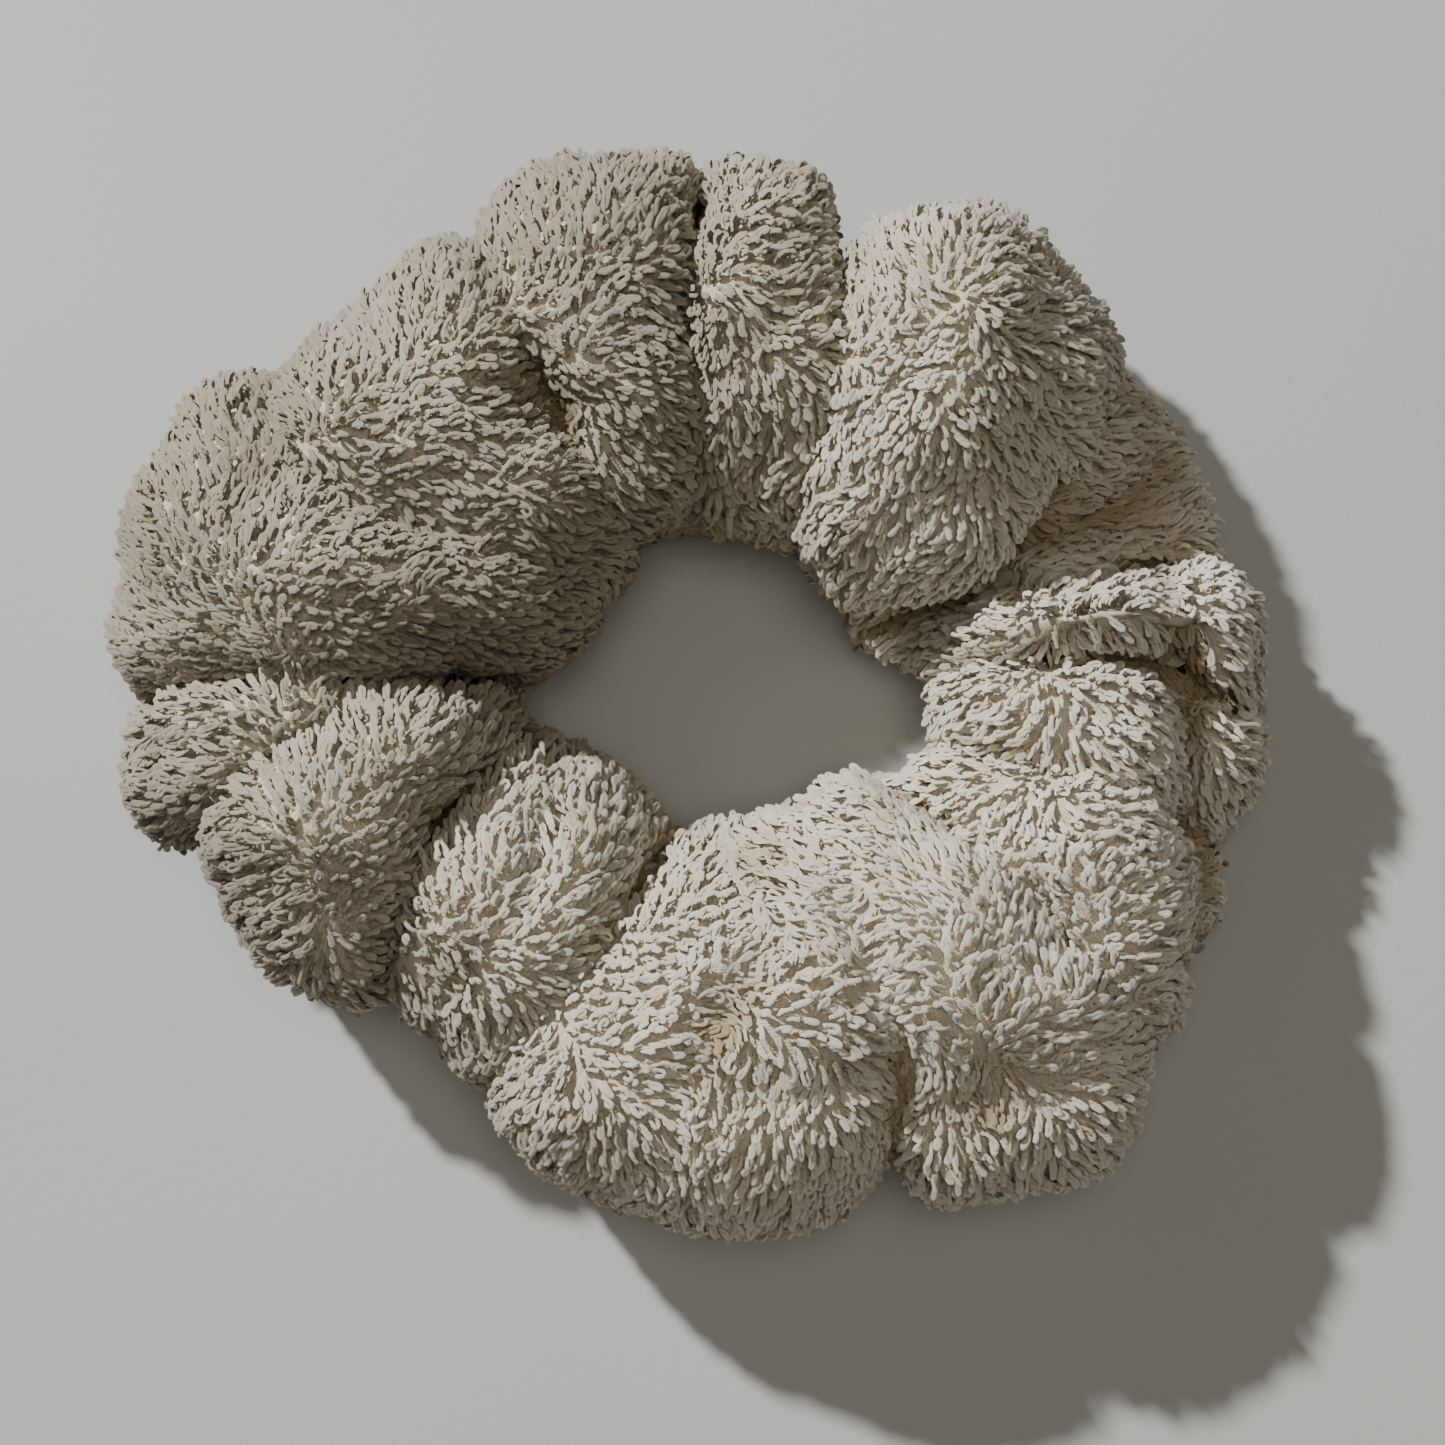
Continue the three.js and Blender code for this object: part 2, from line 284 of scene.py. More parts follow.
RING = ring_surface()
RING_NORMALS = grid_normals(RING)
RING_SUNKEN = sunken(RING, RING_NORMALS)


def crown_row(index):
    """The row of the ring's grid at the crown of fold `index`."""
    return index * ROWS_PER_FOLD + ROWS_PER_FOLD // 2


# ---------- Meshes ----------


def make_mesh(name, points, faces, material):
    """A smooth mesh object from points in millimetres and an array of four-sided faces."""
    mesh = bpy.data.meshes.new(name)
    mesh.vertices.add(len(points))
    mesh.vertices.foreach_set("co", (points * MM).astype(np.float32).ravel())
    mesh.loops.add(faces.size)
    mesh.loops.foreach_set("vertex_index", faces.astype(np.int32).ravel())
    mesh.polygons.add(len(faces))
    mesh.polygons.foreach_set("loop_start", np.arange(0, faces.size, 4, dtype=np.int32))
    mesh.polygons.foreach_set("use_smooth", np.full(len(faces), True))
    mesh.update(calc_edges=True)
    mesh.materials.append(material)
    piece = bpy.data.objects.new(name, mesh)
    bpy.context.scene.collection.objects.link(piece)
    return piece


def add_uv(piece, name, corners):
    layer = piece.data.uv_layers.new(name=name)
    layer.data.foreach_set("uv", corners.astype(np.float32).ravel())


def add_values(piece, name, values):
    attribute = piece.data.attributes.new(name, "FLOAT", "POINT")
    attribute.data.foreach_set("value", np.asarray(values, dtype=np.float32))


def bend_at_crease(piece):
    """Bakes the piece's transform into its points."""
    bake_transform(piece)


# ---------- Materials ----------


def new_material(name, roughness):
    material = bpy.data.materials.new(name)
    material.use_nodes = True
    shader = material.node_tree.nodes["Principled BSDF"]
    shader.inputs["Roughness"].default_value = roughness
    return material, material.node_tree, shader


def add_node(tree, kind, **settings):
    node = tree.nodes.new(kind)
    for name, value in settings.items():
        if hasattr(node, name):
            setattr(node, name, value)
        else:
            node.inputs[name].default_value = value
    return node


def colour_ramp(tree, factor, stops):
    ramp = add_node(tree, "ShaderNodeValToRGB")
    while len(ramp.color_ramp.elements) < len(stops):
        ramp.color_ramp.elements.new(0.5)
    for element, (position, colour) in zip(ramp.color_ramp.elements, stops):
        element.position = position
        element.color = (*colour, 1)
    tree.links.new(factor, ramp.inputs["Fac"])
    return ramp.outputs["Color"]


def mixed(tree, blend_type, factor, first, second):
    mix = add_node(tree, "ShaderNodeMix", data_type="RGBA", blend_type=blend_type)
    for socket, value in ((mix.inputs[0], factor), (mix.inputs[6], first), (mix.inputs[7], second)):
        if isinstance(value, bpy.types.NodeSocket):
            tree.links.new(value, socket)
        else:
            socket.default_value = value
    return mix.outputs[2]


def attribute(tree, name):
    return add_node(tree, "ShaderNodeAttribute", attribute_name=name).outputs["Fac"]


def bumped(tree, shader, height, distance, strength=1.0):
    bump = add_node(tree, "ShaderNodeBump", Distance=distance, Strength=strength)
    tree.links.new(height, bump.inputs["Height"])
    tree.links.new(bump.outputs["Normal"], shader.inputs["Normal"])


def pile_material():
    """Soft cotton yarn, twisted, warm off-white, with painted shade: darker and browner by the cloth,
    in creases and on one side of the ring.
    """
    material, tree, shader = new_material("terry_pile", 0.82)
    shader.inputs["Sheen Weight"].default_value = 0.08
    shader.inputs["Sheen Roughness"].default_value = 0.5
    shader.inputs["Subsurface Weight"].default_value = 0.1
    shader.inputs["Subsurface Radius"].default_value = (1.0, 0.85, 0.7)
    shader.inputs["Subsurface Scale"].default_value = 0.0008
    shader.inputs["Specular IOR Level"].default_value = 0.25
    own = colour_ramp(
        tree,
        attribute(tree, "tint"),
        [(0.0, (0.90, 0.85, 0.74)), (0.5, (0.95, 0.91, 0.81)), (1.0, (0.99, 0.96, 0.88))],
    )
    places = add_node(tree, "ShaderNodeTexCoord").outputs["Object"]
    patches = add_node(tree, "ShaderNodeTexNoise", Scale=90, Detail=3)
    tree.links.new(places, patches.inputs["Vector"])
    patch_colour = colour_ramp(
        tree,
        patches.outputs["Fac"],
        [(0.3, (0.95, 0.91, 0.84)), (0.55, (1.0, 0.985, 0.96)), (0.75, (1.0, 1.0, 1.0))],
    )
    coloured = mixed(tree, "MULTIPLY", 0.8, own, patch_colour)
    # Painted shade: the yarn is painted darker and browner towards each loop's foot, where the loops
    # shade one another by the cloth.
    painted_root_shade = colour_ramp(
        tree, attribute(tree, "rise"), [(0.0, (0.94, 0.87, 0.76)), (0.6, (1.0, 1.0, 1.0))]
    )
    coloured = mixed(tree, "MULTIPLY", 1.0, coloured, painted_root_shade)
    # Painted shade: the pile is painted darker round the ring away from its lightest side, down to
    # less than half as bright, standing in for soft shade over that side.
    painted_side_shade = colour_ramp(
        tree,
        attribute(tree, "painted_side_light"),
        [(0.0, (0.43, 0.415, 0.38)), (0.45, (0.70, 0.685, 0.65)), (1.0, (1.0, 1.0, 1.0))],
    )
    coloured = mixed(tree, "MULTIPLY", 1.0, coloured, painted_side_shade)
    # Painted shade: pile sunk in creases and hollows is painted browner and darker, standing in for
    # the shade there.
    painted_crease_shade = colour_ramp(
        tree, attribute(tree, "tucked"), [(0.0, (1.0, 1.0, 1.0)), (1.0, (0.54, 0.45, 0.32))]
    )
    coloured = mixed(tree, "MULTIPLY", 1.0, coloured, painted_crease_shade)
    tree.links.new(coloured, shader.inputs["Base Color"])
    yarn = add_node(tree, "ShaderNodeUVMap", uv_map="yarn").outputs["UV"]
    twist = add_node(tree, "ShaderNodeTexWave", wave_type="BANDS", bands_direction="DIAGONAL")
    twist.inputs["Scale"].default_value = 0.8
    twist.inputs["Distortion"].default_value = 1.2
    tree.links.new(yarn, twist.inputs["Vector"])
    bumped(tree, shader, twist.outputs["Fac"], 0.00008, 0.5)
    return material


def cloth_material():
    """The ground weave under the pile: warm beige cotton in a plain weave, kept darker than the pile's
    yarn partly as painted shade between the loops.
    """
    material, tree, shader = new_material("terry_ground", 0.95)
    shader.inputs["Sheen Weight"].default_value = 0.15
    weave = add_node(tree, "ShaderNodeUVMap", uv_map="weave").outputs["UV"]
    threads = []
    for direction in ("X", "Y"):
        wave = add_node(tree, "ShaderNodeTexWave", wave_type="BANDS", bands_direction=direction)
        wave.inputs["Scale"].default_value = 0.9
        wave.inputs["Distortion"].default_value = 0.6
        tree.links.new(weave, wave.inputs["Vector"])
        threads.append(wave.outputs["Fac"])
    crossed = mixed(tree, "LIGHTEN", 1.0, threads[0], threads[1])
    # Partly painted shade: besides the weave's own beige, it is darker than the pile's yarn to stand
    # in for the shade down between the loops.
    colour = colour_ramp(tree, crossed, [(0.1, (0.62, 0.55, 0.44)), (0.8, (0.74, 0.67, 0.56))])
    tree.links.new(colour, shader.inputs["Base Color"])
    bumped(tree, shader, crossed, 0.0001, 0.6)
    return material


def elastic_material():
    """Braided elastic: bright yarn over rubber cores, ribbed along its length."""
    material, tree, shader = new_material("braided_elastic", 0.6)
    shader.inputs["Sheen Weight"].default_value = 0.1
    braid = add_node(tree, "ShaderNodeUVMap", uv_map="weave").outputs["UV"]
    wave = add_node(tree, "ShaderNodeTexWave", wave_type="BANDS", bands_direction="DIAGONAL")
    wave.inputs["Scale"].default_value = 0.6
    tree.links.new(braid, wave.inputs["Vector"])
    colour = colour_ramp(
        tree, wave.outputs["Fac"], [(0.0, (0.55, 0.52, 0.46)), (0.7, (0.80, 0.78, 0.72))]
    )
    tree.links.new(colour, shader.inputs["Base Color"])
    bumped(tree, shader, wave.outputs["Fac"], 0.00015, 0.6)
    return material


def thread_material():
    """Polyester sewing thread: two plies, with a faint gloss."""
    material, tree, shader = new_material("sewing_thread", 0.45)
    shader.inputs["Sheen Weight"].default_value = 0.2
    places = add_node(tree, "ShaderNodeTexCoord").outputs["Object"]
    wave = add_node(tree, "ShaderNodeTexWave", wave_type="BANDS", bands_direction="DIAGONAL")
    wave.inputs["Scale"].default_value = 900
    tree.links.new(places, wave.inputs["Vector"])
    colour = colour_ramp(
        tree, wave.outputs["Fac"], [(0.0, (0.60, 0.54, 0.44)), (1.0, (0.76, 0.71, 0.61))]
    )
    tree.links.new(colour, shader.inputs["Base Color"])
    bumped(tree, shader, wave.outputs["Fac"], 0.00005, 0.5)
    return material


def floor_material():
    """Matt pale paper, with a faint tooth and slightly uneven tone."""
    material, tree, shader = new_material("pale_paper", 0.9)
    shader.inputs["Specular IOR Level"].default_value = 0.2
    places = add_node(tree, "ShaderNodeTexCoord").outputs["Object"]
    tone = add_node(tree, "ShaderNodeTexNoise", Scale=9, Detail=2)
    tree.links.new(places, tone.inputs["Vector"])
    colour = colour_ramp(
        tree, tone.outputs["Fac"], [(0.3, (0.555, 0.57, 0.575)), (0.7, (0.61, 0.625, 0.625))]
    )
    tree.links.new(colour, shader.inputs["Base Color"])
    tooth = add_node(tree, "ShaderNodeTexNoise", Scale=700, Detail=3)
    tree.links.new(places, tooth.inputs["Vector"])
    bumped(tree, shader, tooth.outputs["Fac"], 0.0001, 0.3)
    return material


# ---------- The cloth of the cover ----------

STRIP_LENGTH, STRIP_WIDTH = 310, 122  # the towelling strip the cover is sewn from


def rows_between_crowns(index):
    """Grid rows from the crown of fold `index` to the next crown, and their places."""
    first = crown_row(index)
    rows = np.arange(first, first + ROWS_PER_FOLD + 1)
    return rows % len(RING), np.linspace(0, 1, ROWS_PER_FOLD + 1)


def tube_faces(rows, columns, offset=0, inward=False):
    """Faces of a grid of closed rings of points."""
    row, column = np.meshgrid(np.arange(rows - 1), np.arange(columns), indexing="ij")
    beside = (column + 1) % columns
    faces = np.stack(
        [row * columns + column, (row + 1) * columns + column,
         (row + 1) * columns + beside, row * columns + beside],
        axis=-1,
    ).reshape(-1, 4)
    return offset + (faces[:, ::-1] if inward else faces)


def rim_faces(row, columns, inner_offset, flip):
    """Faces that join the outer and inner rings at one end of a tube of cloth."""
    column = np.arange(columns)
    beside = (column + 1) % columns
    start = row * columns
    faces = np.stack(
        [start + column, start + beside,
         inner_offset + start + beside, inner_offset + start + column],
        axis=-1,
    )
    return faces[:, ::-1] if flip else faces


def two_walled(outer, inner):
    """Points and faces of a length of the tube that has an outer and an inner wall."""
    count, columns = outer.shape[:2]
    inner_start = count * columns
    points = np.concatenate([outer.reshape(-1, 3), inner.reshape(-1, 3)])
    faces = np.concatenate([
        tube_faces(count, columns),
        tube_faces(count, columns, offset=inner_start, inward=True),
        rim_faces(0, columns, inner_start, flip=False),
        rim_faces(count - 1, columns, inner_start, flip=True),
    ])
    return points, faces


def area_of(grid):
    """The area of a grid of closed rings of points."""
    along = np.diff(grid, axis=0)
    around = np.roll(grid, -1, axis=1)[:-1] - grid[:-1]
    return float(np.linalg.norm(np.cross(along, around), axis=2).sum())


def cloth_piece(index, material):
    """The cover's cloth from one crown to the next, and its area."""
    rows, places = rows_between_crowns(index)
    outer = RING[rows]
    inner = outer - RING_NORMALS[rows] * CLOTH_THICKNESS
    points, faces = two_walled(outer, inner)
    piece = make_mesh(f"cover_cloth_{index + 1:02d}", points, faces, material)
    around = np.arange(SECTION_POINTS) / SECTION_POINTS * STRIP_WIDTH
    along = places * STRIP_LENGTH / COUNT
    flat = np.stack(np.meshgrid(along, around, indexing="ij"), axis=-1).reshape(-1, 2)
    add_uv(piece, "weave", np.concatenate([flat, flat])[faces.ravel()])
    bend_at_crease(piece)
    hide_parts(f"cover_{index + 1:02d}")
    return piece, area_of(outer)


# ---------- Inside the tube ----------

BAND_WIDTH, BAND_THICKNESS, BAND_RIBS, BAND_RIB_HEIGHT = 6.4, 1.2, 9, 0.12
SEAM_WIDTH, SEAM_THICKNESS, SEAM_DROP = 5.2, 1.6, 2.6
OVERLOCK_WRAPS = 8  # in each of the seam's pieces
THREAD_RADIUS, THREAD_SIDES = 0.22, 6
LAP_FROM, LAP_TO = 0.08, 0.75  # the band's lapped end, as shares of the fold after the closing
CLOSING_STITCHES, LAP_STITCHES = 24, 6
CLOSING_ROW = (CLOSING_CREASE + 1) * ROWS_PER_FOLD


def smoothed(values, window=15):
    """A running mean round the ring, so that the channel has no kinks."""
    half = window // 2
    wrapped = np.concatenate([values[-half:], values, values[:half]])
    return np.convolve(wrapped, np.full(window, 1 / window), mode="valid")


def channel_path():
    """The middle of the passage inside the tube, at each row of the ring."""
    radius = np.linalg.norm(RING[..., :2] - HOLE_CENTRE, axis=2)
    low, high = radius.min(axis=1), radius.max(axis=1)
    base, top = RING[..., 2].min(axis=1), RING[..., 2].max(axis=1)
    middle = smoothed(low + 0.32 * (high - low))
    height = smoothed(base + 0.42 * (top - base))
    places = np.linspace(-1, 1, ROWS_PER_FOLD, endpoint=False)
    beside = np.split(middle, COUNT)
    angles = [fold_angle(index, places, beside[index]) for index in range(COUNT)]
    return on_ring(middle, np.concatenate(angles), height)


CHANNEL = channel_path()


def in_channel(rows, across, up):
    """Points `across` (away from the hole) and `up` from the channel's middle, at any rows."""
    whole = np.floor(rows).astype(int)
    part = (rows - whole)[..., None]
    along = np.roll(CHANNEL, -1, axis=0) - np.roll(CHANNEL, 1, axis=0)
    aside = unit(np.stack([along[:, 1], -along[:, 0], np.zeros(len(along))], axis=1))
    here, ahead = whole % len(CHANNEL), (whole + 1) % len(CHANNEL)
    middle = CHANNEL[here] * (1 - part) + CHANNEL[ahead] * part
    outward = aside[here] * (1 - part) + aside[ahead] * part
    return middle + outward * across[..., None] + np.array([0, 0, 1]) * up[..., None]


def flat_outline(width, thickness, ribs, rib_height):
    """A ribbed strip's section: the underside from left to right, and the top back again."""
    share = np.linspace(-1, 1, 4 * ribs + 1)
    eased = thickness / 2 * (1 - np.abs(share) ** 6 * 0.7)
    up = eased - rib_height * (0.5 + 0.5 * np.cos(share * ribs * 2 * np.pi))
    across = share * width / 2
    under = np.stack([across, -up], axis=1)
    over = np.stack([across[::-1], up[::-1]], axis=1)
    return np.concatenate([under, over])


def strip_mesh(rows, outline, drop=0.0):
    """Points and faces of a closed strip that lies along the channel."""
    columns = len(outline)
    grid_rows = np.repeat(rows[:, None], columns, axis=1).astype(float)
    across = np.broadcast_to(outline[:, 0], grid_rows.shape)
    up = np.broadcast_to(outline[:, 1] - drop, grid_rows.shape)
    points = in_channel(grid_rows, across, up).reshape(-1, 3)
    left = np.arange(columns // 2 - 1)
    start = np.stack([left, left + 1, columns - 2 - left, columns - 1 - left], axis=1)
    end = start[:, ::-1] + (len(rows) - 1) * columns
    return points, np.concatenate([tube_faces(len(rows), columns), start, end])


def thread_mesh(route):
    """Points and faces of sewing thread that follows a route, with closed ends."""
    tangent = unit(np.gradient(route, axis=0))
    reference = unit(route - route.mean(axis=0) + np.array([0.01, 0.02, 0.03]))
    across = unit(np.cross(tangent, reference))
    third = np.cross(tangent, across)
    turn = ((np.arange(THREAD_SIDES) + 0.5) * 2 * np.pi / THREAD_SIDES)[None, :, None]
    ring = np.cos(turn) * across[:, None] + np.sin(turn) * third[:, None]
    points = (route[:, None] + ring * THREAD_RADIUS).reshape(-1, 3)
    caps = np.array([[0, 1, 2, 3], [0, 3, 4, 5]])
    caps = np.concatenate([caps[:, ::-1], caps + (len(route) - 1) * THREAD_SIDES])
    return points, np.concatenate([tube_faces(len(route), THREAD_SIDES), caps])


def flat_uvs(points_per_row, rows, faces, length, width):
    """Coordinates in millimetres along and across a strip or a thread, for each corner."""
    along, around = np.meshgrid(
        np.linspace(0, length, rows), np.linspace(0, width, points_per_row), indexing="ij"
    )
    return np.stack([along, around], axis=-1).reshape(-1, 2)[faces.ravel()]


def band_piece(index, material):
    """The elastic band from one crown to the next."""
    rows = crown_row(index) + np.arange(ROWS_PER_FOLD + 1)
    outline = flat_outline(BAND_WIDTH, BAND_THICKNESS, BAND_RIBS, BAND_RIB_HEIGHT)
    points, faces = strip_mesh(rows, outline)
    piece = make_mesh(f"elastic_band_{index + 1:02d}", points, faces, material)
    add_uv(piece, "weave", flat_uvs(len(outline), len(rows), faces, 14, 2 * BAND_WIDTH))
    bend_at_crease(piece)
    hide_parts(f"elastic_{index + 1:02d}")


def overlock_route(rows):
    """Thread wound over both edges of the seam, about every 2 mm."""
    turn = np.linspace(0, OVERLOCK_WRAPS * 2 * np.pi, OVERLOCK_WRAPS * 10 + 1)
    along = np.linspace(rows[0] + 0.6, rows[-1] - 0.6, len(turn))
    across = -SEAM_WIDTH / 2 + 1.1 + 1.35 * np.cos(turn)
    up = (SEAM_THICKNESS / 2 + 0.1) * np.sin(turn) - SEAM_DROP
    return in_channel(along, across, up)


def seam_piece(index, cloth_look, thread_look):
    """The strip's two long edges, sewn together and overlocked, from one crown to the next."""
    rows = crown_row(index) + np.arange(ROWS_PER_FOLD + 1)
    leaf = flat_outline(SEAM_WIDTH, SEAM_THICKNESS / 2 - 0.05, 2, 0.06)
    lower, lower_faces = strip_mesh(rows, leaf, drop=SEAM_DROP + SEAM_THICKNESS / 4)
    upper, upper_faces = strip_mesh(rows, leaf, drop=SEAM_DROP - SEAM_THICKNESS / 4)
    route = overlock_route(rows)
    thread, thread_faces = thread_mesh(route)
    points = np.concatenate([lower, upper, thread])
    faces = np.concatenate(
        [lower_faces, upper_faces + len(lower), thread_faces + 2 * len(lower)]
    )
    piece = make_mesh(f"long_seam_edges_{index + 1:02d}", points, faces, cloth_look)
    piece.data.materials.append(thread_look)
    looks = np.repeat([0, 1], [2 * len(lower_faces), len(thread_faces)]).astype(np.int32)
    piece.data.polygons.foreach_set("material_index", looks)
    leaf_uv = flat_uvs(len(leaf), len(rows), lower_faces, 14, 2 * SEAM_WIDTH)
    thread_uv = flat_uvs(THREAD_SIDES, len(route), thread_faces, 60, 1)
    add_uv(piece, "weave", np.concatenate([leaf_uv, leaf_uv, thread_uv]))
    bend_at_crease(piece)
    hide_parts(f"long_seam_{index + 1:02d}")
    return piece


# ---------- Where the loop is closed ----------


def turned_in_end(material):
    """The tube's second end, turned in under the first along the closing crease."""
    rows = CLOSING_ROW + np.arange(-1, 4)
    inset = np.array([0.2, 0.1, 0.2, 0.35, 0.5])[:, None, None]
    outer = RING[rows] - RING_NORMALS[rows] * (CLOTH_THICKNESS + inset)
    inner = outer - RING_NORMALS[rows] * CLOTH_THICKNESS
    points, faces = two_walled(outer, inner)
    piece = make_mesh("cover_turned_in_hem", points, faces, material)
    around = np.linspace(0, STRIP_WIDTH, SECTION_POINTS)
    flat = np.stack(np.meshgrid([0, 2, 4, 6, 8], around, indexing="ij"), axis=-1).reshape(-1, 2)
    add_uv(piece, "weave", np.concatenate([flat, flat])[faces.ravel()])
    bend_at_crease(piece)
    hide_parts("cover_turned_in_end")
    return piece


def closing_thread(material):
    """Slanted hand stitches that join the tube's two ends, down in the crease."""
    turn = np.linspace(0, CLOSING_STITCHES * 2 * np.pi, CLOSING_STITCHES * 14 + 1)[:-8]
    column = turn / (CLOSING_STITCHES * 2 * np.pi) * SECTION_POINTS
    whole = np.floor(column).astype(int)
    part = (column - whole)[:, None]
    here, ahead = whole % SECTION_POINTS, (whole + 1) % SECTION_POINTS
    edge = RING[CLOSING_ROW]
    foot = edge[here] * (1 - part) + edge[ahead] * part
    outward = unit(foot - edge.mean(axis=0))
    along = unit(CHANNEL[CLOSING_ROW + 1] - CHANNEL[CLOSING_ROW - 1])
    lift = 0.15 + 0.75 * np.sin(turn)
    route = foot + outward * lift[:, None] + along * (1.1 * np.cos(turn))[:, None]
    points, faces = thread_mesh(route)
    piece = make_mesh("closing_stitches", points, faces, material)
    add_uv(piece, "weave", flat_uvs(THREAD_SIDES, len(route), faces, 200, 1))
    bend_at_crease(piece)
    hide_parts("cover_closing_thread")


def band_lap(material):
    """The band's second end, lying on the first."""
    first = CLOSING_ROW + ROWS_PER_FOLD * LAP_FROM
    last = CLOSING_ROW + ROWS_PER_FOLD * LAP_TO
    rows = np.linspace(first, last, 28)
    outline = flat_outline(BAND_WIDTH, BAND_THICKNESS, BAND_RIBS, BAND_RIB_HEIGHT)
    points, faces = strip_mesh(rows, outline, drop=-BAND_THICKNESS - 0.05)
    piece = make_mesh("elastic_band_lap", points, faces, material)
    add_uv(piece, "weave", flat_uvs(len(outline), len(rows), faces, 11, 2 * BAND_WIDTH))
    bend_at_crease(piece)
    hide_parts("elastic_lap")


def lap_thread(material):
    """The zigzag that sews the band's two ends together."""
    stitch = np.linspace(0, LAP_STITCHES, LAP_STITCHES * 12 + 1)
    swing = np.abs(stitch % 2 - 1) * 2 - 1
    share = LAP_FROM + (LAP_TO - LAP_FROM) * (0.12 + 0.76 * stitch / LAP_STITCHES)
    rows = CLOSING_ROW + ROWS_PER_FOLD * share
    up = 1.5 * BAND_THICKNESS + 0.15 - 0.45 * np.abs(swing) ** 8
    route = in_channel(rows, 1.9 * swing, up)
    points, faces = thread_mesh(route)
    piece = make_mesh("lap_stitches", points, faces, material)
    add_uv(piece, "weave", flat_uvs(THREAD_SIDES, len(route), faces, 60, 1))
    bend_at_crease(piece)
    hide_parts("elastic_lap_thread")


# ---------- The pile ----------

CANDIDATES = 260000  # places tried for a loop's foot, many more than there is room for
LOOP_SPACING = 0.82  # the least distance between two loops' feet
LOOP_LENGTH = 2.6
YARN_RADIUS = 0.235
CREASE_SHADE_FROM, CREASE_SHADE_TO = -1.2, 1.0  # painted shade: how far below the cloth round it the pile starts and ends being painted browner and darker, standing in for shade in creases
PAINTED_LIGHTEST_WAY = -0.6  # radians round the ring, to the side where the pile is painted lightest; painted shade darkens it away from there

# The way the pile lies: at these places, in millimetres from the hole's middle, the loops'
# tips point this way, in degrees anticlockwise from +X. In between, it turns smoothly.
NAP = [
    # upper right
    (36, 33, -10), (40, 28, -20), (31, 39, 10), (26, 43, 80), (33, 43, 40), (27, 24, 240),
    (24, 29, 245), (31, 17, 315), (26, 15, 275), (16, 23, 240), (18, 32, 100), (16, 41, 110),
    (20, 13, 205), (14, 7, 260), (36, 12, 0), (46, 20, 30), (24, 7, 180),
    # right
    (24, 3, 215), (34, 8, 80), (41, 5, 310), (49, 7, 300), (28, -2, 190), (36, 2, 290),
    (26, -6, 195), (38, -5, 285), (44, -6, 340), (23, -10, 180), (30, -15, 280),
    (41, -16, 340), (48, -10, 250), (54, -10, 340), (39, -21, 60), (51, -23, 10),
    # top
    (5, 44, -20), (-1, 29, 260), (1, 20, 270), (5, 26, 245), (13, 30, 5), (8, 35, 0),
    (4, 50, 60), (-6, 34, 5), (-5, 27, -10), (-8, 22, -30), (-11, 43, 60), (-17, 45, 100),
    (-10, 52, 90), (-15, 32, 20),
    # upper left
    (-25, 39, 70), (-30, 25, 15), (-39, 26, 110), (-21, 20, 0), (-35, 16, -25),
    (-27, 16, -50), (-18, 10, 0), (-13, 6, -20), (-48, 25, 115), (-45, 13, 100), (-39, 9, 20),
    (-32, 2, 0), (-53, 5, 70), (-57, 1, 150), (-35, 35, 90),
    # lower left
    (-48, -3, 180), (-38, -5, 90), (-26, -2, 85), (-23, -6, 45), (-53, -10, 190),
    (-49, -17, 215), (-38, -10, 80), (-32, -11, 70), (-30, -17, 45), (-30, -26, 20),
    (-33, -32, 10), (-39, -30, 210), (-44, -25, 190), (-34, -37, 270), (-27, -37, 290),
    (-21, -16, 105), (-19, -10, 90), (-14, -11, 60), (-24, -21, 110), (-15, -20, 65),
    (-17, -27, -15), (-6, -11, 85), (-4, -16, 60),
    # bottom
    (-3, -25, 5), (-17, -40, 195), (-13, -48, 230), (-8, -51, 260), (-10, -42, 20),
    (1, -30, -10), (6, -22, 160), (13, -12, 130), (19, -25, 180), (28, -21, 90),
    (32, -26, 85), (34, -34, 90), (13, -39, 5), (7, -42, 230), (16, -45, 255),
    (24, -47, 250), (31, -48, 275), (39, -46, 310), (41, -35, 30), (46, -35, 300),
]


NAP_REACH = 5.0  # how far a mark's pull goes


def candidate_feet(count):
    """Random places on the cloth, evenly by area: points, normals, grid rows, and how deep each lies
    in a crease, for the painted crease shade.
    """
    beside = np.roll(RING, -1, axis=1)
    ahead = np.roll(RING, -1, axis=0)
    area = np.linalg.norm(np.cross(ahead - RING, beside - RING), axis=2)
    share = np.cumsum(area.ravel())
    picked = np.searchsorted(share, rng.uniform(0, share[-1], count))
    row, column = np.unravel_index(picked, area.shape)
    a, b = rng.uniform(size=(2, count))
    next_row, next_column = (row + 1) % RING.shape[0], (column + 1) % RING.shape[1]

    def spread(grid):
        return (
            grid[row, column] * ((1 - a) * (1 - b))[:, None]
            + grid[next_row, column] * (a * (1 - b))[:, None]
            + grid[row, next_column] * ((1 - a) * b)[:, None]
            + grid[next_row, next_column] * (a * b)[:, None]
        )

    # How deep each foot lies in a crease, which the material turns into painted shade.
    depth = spread(RING_SUNKEN[..., None])[:, 0]
    tucked = np.clip((depth - CREASE_SHADE_FROM) / (CREASE_SHADE_TO - CREASE_SHADE_FROM), 0, 1)
    return spread(RING), unit(spread(RING_NORMALS)), row + a, tucked


